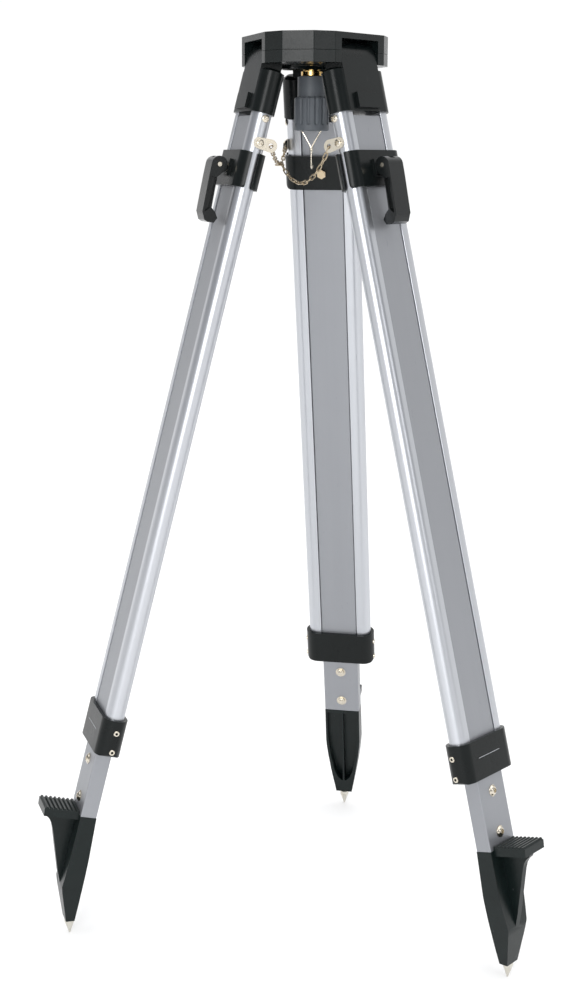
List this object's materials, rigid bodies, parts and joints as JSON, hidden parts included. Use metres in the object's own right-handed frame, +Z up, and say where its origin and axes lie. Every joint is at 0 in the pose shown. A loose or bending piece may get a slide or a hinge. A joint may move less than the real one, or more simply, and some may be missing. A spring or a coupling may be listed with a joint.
{
  "type": "surveyor tripod",
  "caption": "Flat-head surveyor tripod with telescoping aluminium legs, quick clamps, spiked shoes with foot pegs, a centre screw and a leg chain.",
  "frame": {"origin": "on the ground, at the middle of the footprint's bounding box; the spikes' points touch Z = 0", "axes": "+Z up, towards the instrument; +Y towards the rear leg, the other two legs at 120 degrees to it; the head's axis stands at X = 0"},
  "size_m": [0.5938, 0.5141, 1.0446],
  "materials": {
    "head_coating": "cast aluminium with a satin black coating",
    "black_plastic": "moulded black glass-filled nylon, satin",
    "lever_plastic": "moulded black nylon, finely grained",
    "shoe_casting": "cast aluminium with a black coating",
    "satin_aluminium": "drawn, satin anodised",
    "grey_anodised": "grey anodised, fine grain",
    "plated_steel": "bright nickel plated",
    "bare_steel": "turned, bright",
    "brass": "turned brass",
    "grip_plastic": "moulded dark grey plastic"
  },
  "bodies": {
    "head": {"head_top_plate": "head_coating", "head_base_plate": "head_coating", "screw_arm_pin": "plated_steel", "chain_ring": "plated_steel", "rear_hinge_pin": "plated_steel", "left_hinge_pin": "plated_steel", "right_hinge_pin": "plated_steel", "rear_chain": "plated_steel", "left_chain": "plated_steel", "right_chain": "plated_steel"},
    "rear_leg": {"rear_yoke": "black_plastic", "rear_rail_left": "satin_aluminium", "rear_rail_right": "satin_aluminium", "rear_collar": "black_plastic", "rear_chain_tab": "plated_steel"},
    "rear_lower_leg": {"rear_lower_tube": "grey_anodised", "rear_clamp_bracket": "black_plastic", "rear_clamp_plate": "black_plastic", "rear_clamp_bolt": "plated_steel", "rear_lever_pin": "plated_steel", "rear_shoe": "shoe_casting", "rear_spike": "bare_steel", "rear_foot_bolt_upper": "plated_steel", "rear_foot_bolt_lower": "plated_steel"},
    "rear_lever": {"rear_clamp_lever": "lever_plastic"},
    "left_leg": {"left_yoke": "black_plastic", "left_rail_left": "satin_aluminium", "left_rail_right": "satin_aluminium", "left_collar": "black_plastic", "left_chain_tab": "plated_steel"},
    "left_lower_leg": {"left_lower_tube": "grey_anodised", "left_clamp_bracket": "black_plastic", "left_clamp_plate": "black_plastic", "left_clamp_bolt": "plated_steel", "left_lever_pin": "plated_steel", "left_shoe": "shoe_casting", "left_spike": "bare_steel", "left_foot_bolt_upper": "plated_steel", "left_foot_bolt_lower": "plated_steel"},
    "left_lever": {"left_clamp_lever": "lever_plastic"},
    "right_leg": {"right_yoke": "black_plastic", "right_rail_left": "satin_aluminium", "right_rail_right": "satin_aluminium", "right_collar": "black_plastic", "right_chain_tab": "plated_steel"},
    "right_lower_leg": {"right_lower_tube": "grey_anodised", "right_clamp_bracket": "black_plastic", "right_clamp_plate": "black_plastic", "right_clamp_bolt": "plated_steel", "right_lever_pin": "plated_steel", "right_shoe": "shoe_casting", "right_spike": "bare_steel", "right_foot_bolt_upper": "plated_steel", "right_foot_bolt_lower": "plated_steel"},
    "right_lever": {"right_clamp_lever": "lever_plastic"},
    "screw_arm": {"screw_arm": "head_coating"},
    "screw_slider": {"screw_bush": "brass"},
    "centre_screw": {"centre_screw": "brass", "screw_knob": "grip_plastic"},
    "plumb_hook": {"plumb_hook": "plated_steel"}
  },
  "joints": [
    {"name": "rear_leg_spread", "type": "hinge", "parent": "head", "child": "rear_leg", "pos_m": [0, -0.02299, 1.02492], "axis": [1, 0, 0], "range_deg": [-14.7, 6], "deforming": ["rear_chain"]},
    {"name": "rear_leg_extension", "type": "slide", "parent": "rear_leg", "child": "rear_lower_leg", "axis": [0, 0.2538, -0.9673], "range_m": [0, 0.6195]},
    {"name": "rear_clamp_lever_swing", "type": "hinge", "parent": "rear_lower_leg", "child": "rear_lever", "pos_m": [0, 0.03772, 0.90386], "axis": [1, 0, 0], "range_deg": [0, 100]},
    {"name": "left_leg_spread", "type": "hinge", "parent": "head", "child": "left_leg", "pos_m": [-0.04469, -0.10039, 1.02492], "axis": [-0.5, 0.866, 0], "range_deg": [-14.7, 6], "deforming": ["left_chain"]},
    {"name": "left_leg_extension", "type": "slide", "parent": "left_leg", "child": "left_lower_leg", "axis": [-0.2198, -0.1269, -0.9673], "range_m": [0, 0.6195]},
    {"name": "left_clamp_lever_swing", "type": "hinge", "parent": "left_lower_leg", "child": "left_lever", "pos_m": [-0.09726, -0.13074, 0.90386], "axis": [-0.5, 0.866, 0], "range_deg": [0, 100]},
    {"name": "right_leg_spread", "type": "hinge", "parent": "head", "child": "right_leg", "pos_m": [0.04469, -0.10039, 1.02492], "axis": [-0.5, -0.866, 0], "range_deg": [-14.7, 6], "deforming": ["right_chain"]},
    {"name": "right_leg_extension", "type": "slide", "parent": "right_leg", "child": "right_lower_leg", "axis": [0.2198, -0.1269, -0.9673], "range_m": [0, 0.6195]},
    {"name": "right_clamp_lever_swing", "type": "hinge", "parent": "right_lower_leg", "child": "right_lever", "pos_m": [0.09726, -0.13074, 0.90386], "axis": [-0.5, -0.866, 0], "range_deg": [0, 100]},
    {"name": "screw_arm_swing", "type": "hinge", "parent": "head", "child": "screw_arm", "pos_m": [0.05196, -0.04459, 1.00977], "axis": [0, 0, 1], "range_deg": [-12, 12]},
    {"name": "screw_slide_in_arm", "type": "slide", "parent": "screw_arm", "child": "screw_slider", "axis": [0.866, 0.5, 0], "range_m": [-0.01, 0.01]},
    {"name": "centre_screw_turn", "type": "hinge", "parent": "screw_slider", "child": "centre_screw", "pos_m": [0, -0.07459, 0.97092], "axis": [0, 0, 1], "continuous": true},
    {"name": "plumb_hook_swing", "type": "hinge", "parent": "centre_screw", "child": "plumb_hook", "pos_m": [0, -0.07459, 0.94107], "axis": [1, 0, 0], "range_deg": [-45, 45]}
  ]
}
